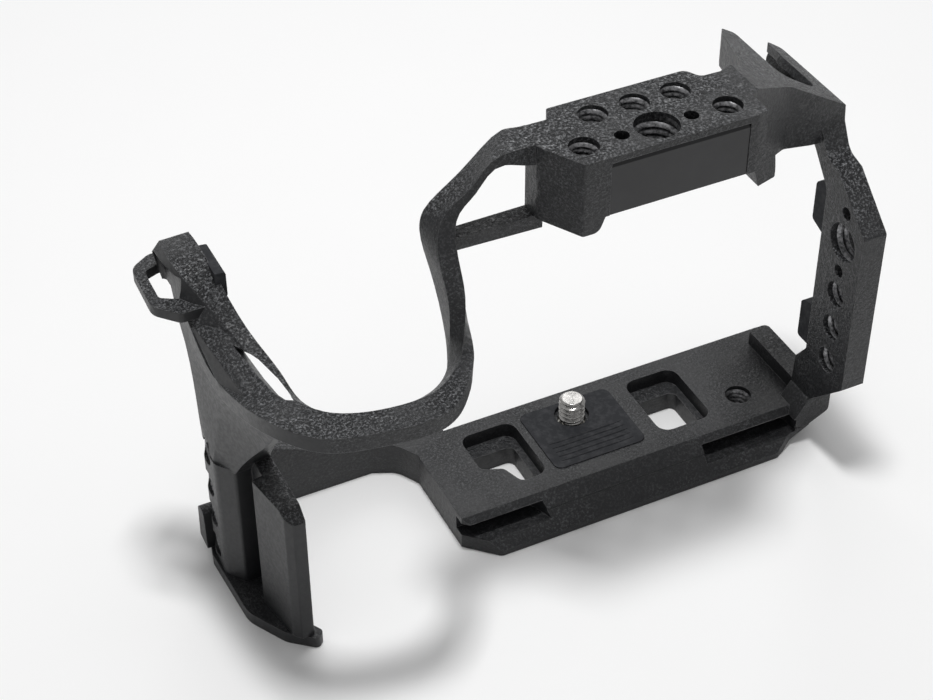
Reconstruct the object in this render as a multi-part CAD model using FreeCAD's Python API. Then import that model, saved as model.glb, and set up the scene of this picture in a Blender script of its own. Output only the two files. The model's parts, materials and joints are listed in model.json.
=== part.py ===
import FreeCAD, Part
import math
import os
from FreeCAD import Vector

# Half cage for a mirrorless camera body: one machined upper frame that wraps the grip side,
# the top and the port side, screwed to a base plate with a dovetail rail, a captive camera
# screw and rubber seats. Millimetres, +X to the right seen from the front, +Y to the back,
# +Z up. The origin is the camera screw's axis at the top face of the base plate.

# Camera body that the cage wraps
screw_to_grip_side = 80.5
screw_to_port_side = 51.5
cage_top = 101.6

# Threads and pins, by their outer diameters
quarter_inch = 6.35
three_eighths = 9.525
locating_pin = 3.2
pin_spacing = 15.875
tap_depth = 8.0

# Base plate
plate_thickness = 9.0
deck_front = -20.0
deck_rear = 8.5
deck_left = -39.0
rail_front = -26.8
rail_width = 38.0
rail_lip = 1.6
rail_flank = 3.8
corner_height = 4.0
corner_bevel_run = 13.0
corner_bevel_rise = 7.4
pocket_floor = -17.2
window_length = 14.0
window_width = 19.5
window_ledge = 1.8
ledge_depth = 4.0
window_radius = 3.0
window_rear = 4.5
grip_window_x = -28.0
port_window_x = 16.4
accessory_hole_x = 39.7
accessory_hole_y = -11.3

# Rear bar and grip foot of the base
bar_front = 11.4
bar_depth = 5.1
bar_rise = 9.0
bar_root = -30.0
foot_thickness = 3.0
foot_toe = -34.0

# Captive camera screw
screw_head_diameter = 13.0
screw_head_height = 2.2
screw_reach = 5.5
screw_relief = 4.8
screw_travel = 2.0
screw_seat = 3.0
washer_thickness = 0.4
keeper_wire = 0.8
running_gap = 0.1
pad_length = 24.0
pad_front = -15.5
pad_depth = 20.5
pad_thickness = 1.0
pad_proud = 0.2

# Top bridge
front_face = -35.8
bridge_rear = -15.0
bridge_half_length = 17.0
bridge_thickness = 7.6
block_back = -24.0
block_left = -24.6
block_right = 27.2
block_height = 17.4
hole_row_front = -29.9
hole_row_rear = -20.8
front_hole_offset = 16.4
rear_hole_pitch = 9.5
nameplate_length = 31.6
nameplate_height = 12.4
nameplate_drop = 1.6
nameplate_thickness = 0.7
nameplate_bevel = 0.6
nameplate_centre = 2.6
fit_gap = 0.05

# Port side: slanted shoulder, cold shoe and wall
slope_start = 24.7
slope_drop = 0.64
wall_thickness = 6.0
shoulder_thickness = 6.8
web_bottom = 72.0
shoe_front = -11.0
shoe_rear = 11.0
shoe_slot = 12.5
shoe_groove = 18.6
shoe_lip = 2.0
shoe_groove_height = 2.1
shoe_axis_x = 47.7
wall_front = -35.2
wall_rear = -20.0
wall_hole_y = -28.0
port_big_hole_z = 53.6
port_small_hole_z = 38.9
port_small_hole_pitch = 9.7

# Grip side: arm, finger bar, shoulder and wall
arm_thickness = 4.6
riser_x = -46.0
riser_top = 88.0
finger_bar_z = 60.0
finger_bar_thickness = 3.8
finger_bar_chamfer = 2.8
shoulder_z = 72.4
shoulder_rear = 16.0
grip_wall_thickness = 10.3
post_height = 31.0
post_depth = 14.2
post_thickness = 4.3
side_hole_y = -1.2
side_hole_top_z = 26.8
side_hole_pitch = 9.43
loop_reach = 7.0
loop_thickness = 2.4

# Pads and joining screws
wall_pad_depth = 4.0
joint_screw = 3.0
joint_screw_head = 5.6
joint_screw_head_height = 1.6
joint_screw_length = 12.0

grip_in = -screw_to_grip_side
port_in = screw_to_port_side
port_out = port_in + wall_thickness
base_bottom = -plate_thickness
slope_angle = math.degrees(math.atan(slope_drop))
slope_cos = math.cos(math.radians(slope_angle))


def place(plane, a, b, c):
    """Point with a and b in the named plane and c across it."""
    if plane == "xy":
        return Vector(a, b, c)
    if plane == "xz":
        return Vector(a, c, b)
    return Vector(c, a, b)


def rounded_wire(corners):
    """Closed wire through (point, radius) corners, each rounded by its own radius."""
    stops = []
    for index, (point, radius) in enumerate(corners):
        back = (corners[index - 1][0] - point).normalize()
        ahead = (corners[(index + 1) % len(corners)][0] - point).normalize()
        if radius <= 0.0:
            stops.append((point, point, None))
            continue
        half = back.getAngle(ahead) / 2.0
        cut = radius / math.tan(half)
        inward = (back + ahead).normalize()
        middle = point + inward * (radius / math.sin(half) - radius)
        stops.append((point + back * cut, point + ahead * cut, middle))
    edges = []
    for index, (start, end, middle) in enumerate(stops):
        if middle is not None:
            edges.append(Part.Arc(start, middle, end).toShape())
        following = stops[(index + 1) % len(stops)][0]
        if end.distanceToPoint(following) > 0.001:
            edges.append(Part.LineSegment(end, following).toShape())
    return Part.Wire(edges)


def prism(plane, corners, low, high):
    """Solid with the given outline, (a, b) or (a, b, radius) corners, from low to high."""
    points = []
    for corner in corners:
        radius = corner[2] if len(corner) > 2 else 0.0
        points.append((place(plane, corner[0], corner[1], low), radius))
    return Part.Face(rounded_wire(points)).extrude(place(plane, 0.0, 0.0, high - low))


def box(x0, x1, y0, y1, z0, z1):
    """Block between two corners."""
    return Part.makeBox(x1 - x0, y1 - y0, z1 - z0, Vector(x0, y0, z0))


def rod(diameter, start, direction, length):
    """Round bar from a start point along a direction."""
    return Part.makeCylinder(diameter / 2.0, length, start, direction)


def tapped_hole(diameter, start, direction, depth):
    """Cutter for a tapped hole, from a little before its mouth."""
    lead = 0.5
    return rod(diameter, start - direction * lead, direction, depth + lead)


def flat_faces(a, b, c, d):
    """The face through four corners, as one piece where it is flat and as two where it is twisted."""
    normal = (b - a).cross(c - a)
    if abs(normal.normalize().dot(d - a)) < 0.0000001:
        return [Part.Face(Part.makePolygon([a, b, c, d, a]))]
    return [Part.Face(Part.makePolygon([a, b, c, a])), Part.Face(Part.makePolygon([a, c, d, a]))]


def banded(sections, steps=4):
    """Solid band whose corners run on smooth curves through the matching points of all sections."""
    stations = [0.0]
    for near, ahead in zip(sections, sections[1:]):
        gaps = [Vector(*p).distanceToPoint(Vector(*q)) for p, q in zip(near, ahead)]
        stations.append(stations[-1] + sum(gaps) / len(gaps))
    stops = []
    for low, high in zip(stations, stations[1:]):
        stops += [low + (high - low) * step / steps for step in range(steps)]
    stops.append(stations[-1])
    rails = []
    for corner in range(len(sections[0])):
        curve = Part.BSplineCurve()
        curve.interpolate(Points=[Vector(*section[corner]) for section in sections], Parameters=stations)
        rails.append([curve.value(stop) for stop in stops])
    faces = []
    for corner, rail in enumerate(rails):
        beside = rails[(corner + 1) % len(rails)]
        for near in range(len(stops) - 1):
            faces += flat_faces(rail[near], rail[near + 1], beside[near + 1], beside[near])
    for end in (0, -1):
        rim = [rail[end] for rail in rails]
        faces.append(Part.Face(Part.makePolygon(rim + rim[:1])))
    shell = Part.makeShell(faces)
    shell.sewShape()
    solid = Part.makeSolid(shell)
    if solid.Volume < 0.0:
        solid.reverse()
    return solid


def union(shapes):
    """One solid from shapes that overlap."""
    return shapes[0].multiFuse(shapes[1:]).removeSplitter()


def slope_z(x):
    """Height of the slanted shoulder plane over x."""
    return cage_top - slope_drop * (x - slope_start)


def on_slope(shape):
    """Shape drawn flat at the slope's start, turned down onto the slanted plane."""
    turned = shape.copy()
    turned.rotate(Vector(slope_start, 0.0, cage_top), Vector(0.0, 1.0, 0.0), slope_angle)
    return turned


def along_slope(x):
    """Flat coordinate that lands over x once it is turned onto the slope."""
    return slope_start + (x - slope_start) / slope_cos


def top_bridge():
    """Front block and plate over the lens mount, with the diagonal end towards the grip."""
    block_bottom = cage_top - block_height
    plate_bottom = cage_top - nameplate_drop - nameplate_height
    face = [(block_left, block_bottom), (-15.6, block_bottom, 2.0), (-14.2, plate_bottom),
            (20.4, plate_bottom), (22.0, block_bottom - 1.2), (block_right, block_bottom - 1.2),
            (block_right - 1.0, plate_bottom + 2.0), (slope_start - 2.0, plate_bottom + 6.0),
            (slope_start - 2.0, cage_top), (block_left, cage_top)]
    slab = prism("xz", face, front_face - 1.0, block_back + 3.0)
    plan = [(block_left, block_back + 3.0), (block_left, -26.4, 2.0), (-19.2, front_face, 0.8),
            (20.2, front_face, 0.8), (block_right, -33.8, 1.0), (block_right, block_back),
            (-19.0, block_back), (-20.0, block_back + 3.0)]
    block = slab.common(prism("xy", plan, block_bottom - 1.0, cage_top + 1.0))
    step = bridge_rear - 3.5
    deck = [(-slope_start, -26.0), (-slope_start, -18.4), (-bridge_half_length - 1.6, step),
            (-bridge_half_length, bridge_rear, 0.8), (bridge_half_length - 2.0, bridge_rear, 2.0),
            (bridge_half_length - 0.2, step, 2.0), (21.4, step - 0.1), (slope_start, -17.6),
            (slope_start, -27.6), (20.2, -31.0), (-18.0, -31.0)]
    plate = prism("xy", deck, cage_top - bridge_thickness, cage_top)
    return union([block, plate])


def port_shoulder():
    """Slanted shoulder with its front web, drawn in plan and cut by the slope."""
    plan = [(slope_start - 6.0, -29.5), (slope_start, -27.6, 2.0), (40.4, -17.2, 3.0),
            (port_out, -14.9, 0.6), (port_out, shoe_rear, 1.5), (53.4, shoe_rear + 0.8, 1.2),
            (53.0, shoe_front + 16.0), (42.6, shoe_front + 16.0), (42.3, 8.2, 1.0), (38.6, 7.8, 2.0),
            (35.6, 3.1, 1.5), (29.6, -15.6, 2.5), (slope_start - 3.3, -18.6), (slope_start - 6.0, -18.6)]
    column = prism("xy", plan, web_bottom, cage_top + plate_thickness)
    ramp = [(slope_start - 6.0, cage_top), (slope_start, cage_top), (port_out, slope_z(port_out)),
            (port_out, slope_z(port_out) - 4.0), (port_out - 2.5, slope_z(port_out) - shoulder_thickness),
            (slope_start + 6.0, slope_z(slope_start + 6.0) - shoulder_thickness - 1.2),
            (slope_start, cage_top - bridge_thickness), (slope_start - 6.0, cage_top - bridge_thickness)]
    slab = column.common(prism("xz", ramp, front_face, shoe_rear + wall_thickness))
    web_face = [(slope_start + 4.6, web_bottom + 7.0, 1.5), (34.4, web_bottom + 5.0, 3.0),
                (48.4, web_bottom + 1.4, 2.0), (port_out, web_bottom),
                (port_out, slope_z(port_out)), (slope_start + 4.6, slope_z(slope_start + 4.6))]
    web_plan = [(slope_start + 4.0, -24.6), (40.4, -17.2, 3.0), (port_out, -14.9), (port_out, -11.0),
                (41.0, -12.6), (slope_start + 4.0, -19.5)]
    sheet = prism("xz", web_face, front_face, shoe_front + wall_thickness)
    web = sheet.common(prism("xy", web_plan, web_bottom, cage_top))
    return union([slab, web])


def shoe_cutters():
    """Slot and groove of the cold shoe, cut into the slanted plane from the back."""
    axis = along_slope(shoe_axis_x)
    slot = [(axis - shoe_slot / 2.0, shoe_rear + 9.0), (axis - shoe_slot / 2.0, shoe_front, 4.0),
            (axis + shoe_slot / 2.0, shoe_front, 4.0), (axis + shoe_slot / 2.0, shoe_rear + 9.0)]
    groove = [(axis - shoe_groove / 2.0, shoe_rear + 9.0), (axis - shoe_groove / 2.0, shoe_front, 2.0),
              (axis + shoe_groove / 2.0, shoe_front, 2.0), (axis + shoe_groove / 2.0, shoe_rear + 9.0)]
    depth = shoe_lip + shoe_groove_height
    open_slot = prism("xy", slot, cage_top - depth, cage_top + 3.0)
    wide_groove = prism("xy", groove, cage_top - depth, cage_top - shoe_lip)
    return on_slope(open_slot.fuse(wide_groove))


def port_wall():
    """Holed wall on the port side, with its neck up to the shoulder."""
    top_edge = slope_z(port_out) + 0.4
    side = [(wall_front, 15.5), (-24.0, corner_height), (-16.0, corner_height), (-16.4, 12.0, 2.0),
            (wall_rear, 17.0, 1.0), (wall_rear, 63.0, 3.0), (-14.0, 70.5, 4.0), (-8.5, 75.4, 3.0),
            (4.0, 76.6), (4.0, top_edge), (-14.9, top_edge), (-15.3, 76.9, 1.5), (-18.5, 70.8, 4.0),
            (-23.5, 69.6, 1.0),
            (wall_front, 59.0, 1.0)]
    slab = prism("yz", side, port_in, port_out)
    lid = [(port_in - 1.0, 0.0), (port_out + 1.0, 0.0), (port_out + 1.0, slope_z(port_out + 1.0)),
           (port_in - 1.0, slope_z(port_in - 1.0))]
    return slab.common(prism("xz", lid, wall_front - 1.0, shoe_rear + 2.0))


def bar_section(inner, outer):
    """Section of the finger bar from its inner to its outer plan point, bevelled along the inside."""
    top = finger_bar_z
    low = finger_bar_z - finger_bar_thickness
    length = math.dist(inner, outer)
    bevel = [a + (b - a) * finger_bar_chamfer / length for a, b in zip(inner, outer)]
    return [(inner[0], inner[1], top - finger_bar_chamfer), (bevel[0], bevel[1], top),
            (outer[0], outer[1], top), (outer[0], outer[1], low), (inner[0], inner[1], low)]


def arm_sections():
    """Sections of the slanted arm and the riser, from the bridge down to the finger bar."""
    x = riser_x
    lift = riser_top
    drop = (riser_top - finger_bar_z) / 28.0
    t = arm_thickness
    top = cage_top
    root = 1.2 - slope_start
    bend = -slope_start - 5.4
    bar = finger_bar_z
    low = finger_bar_z - finger_bar_thickness
    return [
        [(root, -25.3, top), (root, -25.8, top - t), (root, -22.8, top - t - 1.4),
         (root, -18.3, top - t), (root, -18.3, top)],
        [(root - 4.0, -25.4, top), (root - 3.8, -25.9, top - t + 0.8), (root - 3.2, -22.9, top - t - 0.6),
         (root - 2.0, -18.1, top - t + 0.3), (root - 2.4, -18.1, top)],
        [(bend - 2.1, -25.4, top - 0.2), (bend - 1.5, -25.9, top - t + 2.2), (bend - 0.6, -23.0, top - t + 0.6),
         (bend + 2.5, -17.6, top - t + 1.0), (bend + 1.7, -17.6, top - 0.2)],
        [(x + 8.0, -24.0, lift + 6.6), (x + 8.7, -24.6, lift + 5.4), (x + 10.0, -22.0, lift + 3.4),
         (x + 10.2, -17.2, lift + 2.6), (x + 8.5, -17.2, lift + 5.8)],
        [(x + 2.6, -22.2, lift - 0.2), (x + 5.0, -23.4, lift - 1.0), (x + 6.4, -20.2, lift - 3.0),
         (x + 4.8, -16.6, lift - 4.0), (x + 0.8, -16.9, lift - 1.0)],
        [(x + 0.4, -24.0, lift - 5.0 * drop), (x + 4.2, -25.0, lift - 6.0 * drop),
         (x + 5.0, -20.8, lift - 8.5 * drop), (x + 3.4, -17.3, lift - 8.5 * drop),
         (x - 0.4, -17.3, lift - 5.5 * drop)],
        [(x + 0.7, -27.2, lift - 14.0 * drop), (x + 4.2, -28.3, lift - 13.5 * drop),
         (x + 5.0, -23.5, lift - 16.5 * drop), (x + 3.7, -19.0, lift - 17.0 * drop),
         (x + 0.8, -19.3, lift - 14.5 * drop)],
        [(x + 1.1, -27.8, bar + 2.6), (x + 2.8, -31.0, bar + 4.3), (x + 5.6, -28.4, bar + 1.6),
         (x + 5.0, -24.0, bar - 2.0), (x + 2.1, -23.2, bar - 0.7)],
        [(x + 0.4, -28.8, bar - 2.2), (x + 0.8, -33.4, bar), (x + 3.6, -34.0, bar),
         (x + 3.8, -32.5, low), (x + 0.8, -27.0, low)],
    ]


def finger_sections():
    """Sections of the flat bar that bows out round the fingers, from inner and outer plan points."""
    x = riser_x
    g = grip_in
    spots = [((x - 2.4, -32.8), (x - 0.4, -39.8)), ((x - 5.5, -35.5), (x - 4.2, -44.0)),
             ((x - 10.1, -37.3), (x - 9.2, -46.7)), ((x - 16.5, -37.4), (x - 16.4, -46.9)),
             ((g + 11.0, -35.9), (g + 9.0, -45.4)), ((g + 5.9, -32.9), (g + 0.9, -42.4)),
             ((g + 2.7, -27.2), (g - 6.1, -34.0))]
    return [bar_section(inner, outer) for inner, outer in spots]


def shoulder_sections():
    """Sections of the shoulder that climbs back over the grip side, up to its square rear end."""
    g = grip_in
    top = shoulder_z
    bar = finger_bar_z
    rear = shoulder_rear
    return [
        [(g + 1.4, -20.0, bar - 0.4), (g - 1.8, -20.0, bar + 0.2), (g - 9.0, -20.0, bar - 3.4),
         (g - 8.4, -20.0, bar - 8.4), (g + 1.2, -20.0, bar - 4.8)],
        [(g - 0.8, -8.0, bar + 2.8), (g - 4.2, -8.0, bar + 2.8), (g - 10.3, -8.0, bar - 3.2),
         (g - 9.8, -8.0, bar - 8.6), (g - 0.4, -8.0, bar - 5.6)],
        [(g - 3.2, 3.0, top - 1.6), (g - 9.6, 3.0, top - 1.8), (g - 11.3, 3.0, top - 6.0),
         (g - 10.6, 3.0, top - 13.0), (g - 1.8, 3.0, top - 11.0)],
        [(g - 3.9, rear, top), (g - 10.4, rear, top - 0.2), (g - 12.2, rear, top - 2.4),
         (g - 10.8, rear, top - 10.0), (g - 3.0, rear, top - 9.6)],
    ]


def grip_band():
    """Arm, riser, finger bar and shoulder: one band that twists round the hand."""
    return banded(arm_sections() + finger_sections() + shoulder_sections())


def arm_strut():
    """Straight strut that closes the triangle between the bridge and the riser."""
    root = block_left + 2.0
    end = riser_x + 4.6
    low = cage_top - block_height - 3.6
    high = low + 3.6
    return banded([
        [(root, -21.0, low + 1.0), (root, -21.0, high), (root, -25.2, high), (root, -25.0, low),
         (root, -22.0, low)],
        [(end, -20.0, low), (end, -20.0, high - 1.0), (end, -23.6, high - 1.0), (end, -23.6, low - 0.6),
         (end, -21.0, low - 0.6)],
    ], 1)


def grip_wall():
    """Side wall under the shoulder, with its slotted foot and the square post in front."""
    g = grip_in
    out = grip_in - grip_wall_thickness
    foot = base_bottom + foot_thickness
    knee = side_hole_top_z + 1.2
    bulge = [(g, 2.8), (out + 1.2, 2.8, 1.0), (out - 0.4, 0.6, 1.5), (out - 0.6, -7.0, 3.0),
             (out + 2.6, -11.2, 1.0), (g, -11.2)]
    low = prism("xy", bulge, foot, knee)
    sections = [
        [(g, -11.2, knee - 0.5), (out + 2.6, -11.4, knee - 0.5), (out - 0.5, -6.0, knee - 0.5),
         (out + 0.4, 2.8, knee - 0.5), (g, 2.8, knee - 0.5)],
        [(g, -16.5, 37.0), (out + 4.2, -18.0, 37.0), (out + 0.6, -8.0, 37.0), (out + 0.5, 4.4, 37.0),
         (g, 4.6, 37.0)],
        [(g, -23.5, 46.0), (out + 5.2, -25.6, 46.0), (out + 1.2, -10.0, 46.0), (out + 0.6, 6.4, 46.0),
         (g, 6.6, 46.0)],
        [(g, -30.2, 55.0), (out + 4.8, -33.0, 55.0), (out + 0.6, -14.0, 55.0), (out + 0.2, 9.2, 55.0),
         (g, 9.4, 55.0)],
    ]
    sail = banded(sections, 2)
    ridge = [(g - 2.6, -5.0, 63.0), (out + 3.0, -6.5, 63.0), (out - 0.4, 0.0, 63.0), (out - 0.4, 12.4, 63.0),
             (g - 2.6, 12.4, 63.0)]
    cap = banded([sections[-1], ridge], 1)
    back = [(g, -9.0), (g, -20.0), (g - post_thickness + 0.4, -20.0), (g - post_thickness + 0.4, -9.0)]
    web = prism("xy", back, foot, post_height)
    front = -18.2 - post_depth
    post_plan = [(g, -17.4), (g - post_thickness - 2.2, -18.2, 0.6), (g - post_thickness, front + 1.6, 0.8),
                 (g - post_thickness + 1.4, front, 0.4), (g, front, 0.4)]
    post = prism("xy", post_plan, foot, post_height)
    slice_off = prism("yz", [(front - 2.0, post_height - 4.0), (front - 2.0, post_height + 2.0),
                             (front + 6.0, post_height + 2.0)], g - 20.0, g + 5.0)
    lug_side = [(2.4, foot), (7.0, foot + 0.6, 0.8), (6.4, 4.6, 1.5), (2.9, 5.4, 1.5)]
    lug = prism("yz", lug_side, out - 1.6, out + 3.0)
    return [low, sail, cap, web, post.cut(slice_off), lug]


def strap_loop():
    """Flat loop for a strap on the outer side of the shoulder."""
    out = grip_in - grip_wall_thickness
    low = shoulder_z - 8.3
    ring = [(out + 4.0, 18.4), (out - 1.4, 20.2, 3.0), (out - loop_reach + 0.4, 16.8, 3.5),
            (out - loop_reach, 3.0, 4.0), (out - 2.4, -2.0, 2.0), (out + 4.0, -2.0)]
    slot = [(out + 0.2, 16.4, 1.2), (out - loop_reach + 2.6, 14.6, 1.2), (out - loop_reach + 2.4, 5.0, 1.2),
            (out + 0.2, 2.0, 1.2)]
    plate = prism("xy", ring, low, low + loop_thickness)
    return plate, prism("xy", slot, low - 4.0, low + loop_thickness + 4.0)


def almond_window():
    """Cutter for the long opening between the shoulder's two rails, slanted down and inwards."""
    g = grip_in
    z = finger_bar_z + 6.0
    rim = [(g - 7.2, -13.6), (g - 5.4, -16.8), (g - 4.2, -20.1), (g - 3.0, -27.0), (g - 2.6, -34.6),
           (g - 4.2, -33.6), (g - 5.4, -30.6), (g - 6.4, -24.0)]
    points = [Vector(a, b, z) for a, b in rim]
    return Part.Face(Part.makePolygon(points + points[:1])).extrude(Vector(10.0, 16.5, -20.0))


def top_holes():
    """Cutters for the tapped and pin holes in the bridge."""
    down = Vector(0.0, 0.0, -1.0)
    cutters = [tapped_hole(three_eighths, Vector(0.0, hole_row_front, cage_top), down, tap_depth + 1.0)]
    for side in (-1.0, 1.0):
        spot = Vector(side * front_hole_offset, hole_row_front, cage_top)
        cutters.append(tapped_hole(quarter_inch, spot, down, tap_depth))
        pin = Vector(side * pin_spacing / 2.0, hole_row_front, cage_top + 0.5)
        cutters.append(rod(locating_pin, pin, down, 5.5))
    for step in (-1.0, 0.0, 1.0):
        spot = Vector(step * rear_hole_pitch, hole_row_rear, cage_top)
        cutters.append(tapped_hole(quarter_inch, spot, down, tap_depth + 1.0))
    return cutters


def port_holes():
    """Cutters for the row of holes through the port wall."""
    out = Vector(1.0, 0.0, 0.0)
    spots = [(three_eighths, port_big_hole_z)]
    spots += [(quarter_inch, port_small_hole_z - step * port_small_hole_pitch) for step in range(3)]
    cutters = []
    for diameter, height in spots:
        mouth = Vector(port_in, wall_hole_y, height)
        cutters.append(tapped_hole(diameter, mouth, out, wall_thickness + 1.0))
    for side in (-1.0, 1.0):
        pin = Vector(port_in - 0.5, wall_hole_y, port_big_hole_z + side * pin_spacing / 2.0)
        cutters.append(rod(locating_pin, pin, out, wall_thickness + 1.0))
    return cutters


def grip_holes():
    """Cutters for the four tapped holes through the grip wall."""
    inward = Vector(1.0, 0.0, 0.0)
    out = grip_in - grip_wall_thickness - 0.4
    through = grip_wall_thickness + 2.0
    cutters = []
    for step in range(4):
        height = side_hole_top_z - step * side_hole_pitch
        cutters.append(tapped_hole(quarter_inch, Vector(out, side_hole_y, height), inward, through))
    return cutters


def nameplate_outline(grow):
    """Section of the bare front plate, with the bevel along its top edge."""
    top = cage_top - nameplate_drop + grow
    bottom = top - nameplate_height - 2.0 * grow
    front = front_face + 0.15
    back = front + nameplate_thickness + grow
    if grow > 0.0:
        front = front - 2.0
        return [(front, bottom), (back, bottom), (back, top), (front + 2.0 + nameplate_bevel, top),
                (front, top)]
    return [(front, bottom), (back, bottom), (back, top), (front + nameplate_bevel, top),
            (front, top - nameplate_bevel * 1.6)]


def front_plate():
    """Smooth plate let into the front of the bridge."""
    half = nameplate_length / 2.0
    return prism("yz", nameplate_outline(0.0), nameplate_centre - half, nameplate_centre + half)


def joint_spots_grip():
    """Where screws rise through the foot into the grip wall and post."""
    return [(grip_in - 5.2, -8.2), (grip_in - 2.3, -25.6)]


def joint_spots_port():
    """Where a screw rises through the base corner into the port wall."""
    return [(port_in + wall_thickness / 2.0, -20.0)]


def joint_screw_body(x, y, seat, clear):
    """Flat-headed screw pointing up, its head flush with the seat height."""
    grow = 2.0 * clear
    up = Vector(0.0, 0.0, 1.0)
    below = 4.0 if clear > 0.0 else 0.0
    low = Vector(x, y, seat - below)
    shank = rod(joint_screw + grow, low, up, joint_screw_length + clear + below)
    body = shank.fuse(rod(joint_screw_head + grow, low, up, joint_screw_head_height + clear + below))
    if clear <= 0.0:
        corners = []
        for step in range(6):
            turn = math.radians(60.0 * step)
            corners.append((x + joint_screw / 3.0 * math.cos(turn), y + joint_screw / 3.0 * math.sin(turn)))
        body = body.cut(prism("xy", corners, seat, seat + 0.7 * joint_screw_head_height))
    return body.removeSplitter()


def port_screw_seat():
    """Height of the port screw's head, sunk into the bevelled corner."""
    return base_bottom + corner_bevel_rise - 0.2


def joining_screws(spots, seat):
    """Screws of one joint between base and frame."""
    return Part.makeCompound([joint_screw_body(x, y, seat, 0.0) for x, y in spots])


def wall_pads():
    """Outlines, in the wall's plane, of the two rubber stops behind the port wall."""
    back = wall_rear + wall_pad_depth
    upper = [(wall_rear, 51.2), (back, 52.6, 1.0), (back, 62.8, 2.0), (wall_rear, 65.2)]
    lower = [(wall_rear, 18.4), (back, 18.4, 1.0), (back, 28.8, 1.0), (wall_rear, 30.4)]
    return upper, lower


def wall_pad(outline):
    """One stop, a little narrower than the wall that carries it."""
    return prism("yz", outline, port_in, port_out - 1.6)


def shoulder_pad():
    """Rubber stop on the inner side of the grip shoulder."""
    g = grip_in
    side = [(g - 3.9, shoulder_z - 0.6), (g - 1.5, shoulder_z - 0.8, 0.6), (g - 1.5, shoulder_z - 7.0, 0.6),
            (g - 3.9, shoulder_z - 7.0)]
    return prism("xz", side, 0.6, 11.4)


def upper_frame():
    """The whole machined frame over the base, as one solid."""
    loop, loop_slot = strap_loop()
    pieces = [top_bridge(), port_shoulder(), port_wall(), grip_band(), arm_strut()] + grip_wall() + [loop]
    frame = union(pieces)
    cutters = [shoe_cutters(), loop_slot, almond_window()] + top_holes() + port_holes() + grip_holes()
    half = nameplate_length / 2.0
    cutters.append(prism("yz", nameplate_outline(fit_gap), nameplate_centre - half - fit_gap,
                         nameplate_centre + half + fit_gap))
    for x, y in joint_spots_grip():
        cutters.append(joint_screw_body(x, y, base_bottom, fit_gap))
    for x, y in joint_spots_port():
        cutters.append(joint_screw_body(x, y, port_screw_seat(), fit_gap))
    for tool in cutters:
        frame = frame.cut(tool)
    return frame.cut(shoulder_pad())


def base_windows():
    """Cutters for the two stepped windows beside the camera screw."""
    rear = window_rear
    front = window_rear - window_width
    tight = window_radius * 0.6
    left = grip_window_x
    right = port_window_x
    slant = [(left + window_length / 2.0, front, tight), (left + window_length * 0.36, front + 5.6, tight),
             (left, front + 7.6, tight)]
    cutters = []
    for low_x, front_side in ((left, slant), (right, [(right, front, window_radius)])):
        end = low_x + window_length
        inner = end - window_ledge
        lower_rear = rear - window_ledge - 2.4
        rim = [(low_x, rear, window_radius), (end, rear, window_radius), (end, front, window_radius)]
        rim += front_side
        through = [(low_x, lower_rear, tight), (inner, lower_rear, tight), (inner, front, tight)]
        through += front_side
        cutters.append(prism("xy", rim, -ledge_depth, 1.0))
        cutters.append(prism("xy", through, base_bottom - 1.0, -ledge_depth + 0.5))
    return cutters


def base_deck():
    """Dovetail rail and deck, one section drawn out to the port corner and trimmed in plan."""
    rail_rear = rail_front + rail_width
    waist_front = rail_front + rail_flank
    waist_rear = rail_rear - rail_flank + 1.1
    waist = base_bottom + rail_lip + rail_flank
    lip_top = base_bottom + rail_lip
    section = [(deck_front, 0.0), (waist_front, waist + 0.6), (waist_front, waist), (rail_front, lip_top),
               (rail_front, base_bottom), (rail_rear, base_bottom), (rail_rear, lip_top),
               (waist_rear, waist), (deck_rear, 0.0)]
    bar = prism("yz", section, deck_left, port_out)
    front_port = port_out - corner_bevel_run
    plan = [(deck_left, deck_front), (deck_left + 7.0, rail_front, 2.0), (front_port - 2.5, rail_front, 3.0),
            (front_port + 2.5, -24.0), (port_out, -24.0, 1.0), (port_out, deck_rear, 1.0),
            (front_port, rail_rear + 1.0), (deck_left, rail_rear + 1.0)]
    trimmed = bar.common(prism("xy", plan, base_bottom - 1.0, 1.0))
    end = [(deck_left, 0.5), (port_out, 0.5), (port_out, base_bottom + corner_bevel_rise, 2.0),
           (front_port, base_bottom, 2.0), (deck_left, base_bottom)]
    trimmed = trimmed.common(prism("xz", end, rail_front - 1.0, rail_rear + 1.0))
    flank = [(port_in - 5.0, base_bottom + corner_bevel_rise - 2.0), (port_in, corner_height, 1.0),
             (port_out, corner_height), (port_out, base_bottom + corner_bevel_rise, 1.5), (port_in, -4.6)]
    corner = prism("xz", flank, -24.0, -16.0)
    ridge_plan = [(port_in + 0.6, -16.4), (port_in + 0.6, 4.5, 0.8), (port_out, 4.5, 1.5), (port_out, -16.4)]
    ridge = prism("xy", ridge_plan, -2.0, corner_height)
    return union([trimmed, corner, ridge])


def front_pockets():
    """Cutters for the two long pockets under the front edge of the deck."""
    low = base_bottom + rail_lip + rail_flank - 1.6
    cutters = []
    for ends in ((deck_left - 2.0, -20.5, 4.0), (23.5, port_in - 3.0, 3.0)):
        start, stop, radius = ends
        first = radius if start > deck_left else 0.0
        rim = [(start, rail_front - 2.0), (start, pocket_floor, first), (stop, pocket_floor, radius),
               (stop + (4.0 if start < 0.0 else 0.0), rail_front - 2.0)]
        cutters.append(prism("xy", rim, low, -1.5))
    return cutters


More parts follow.
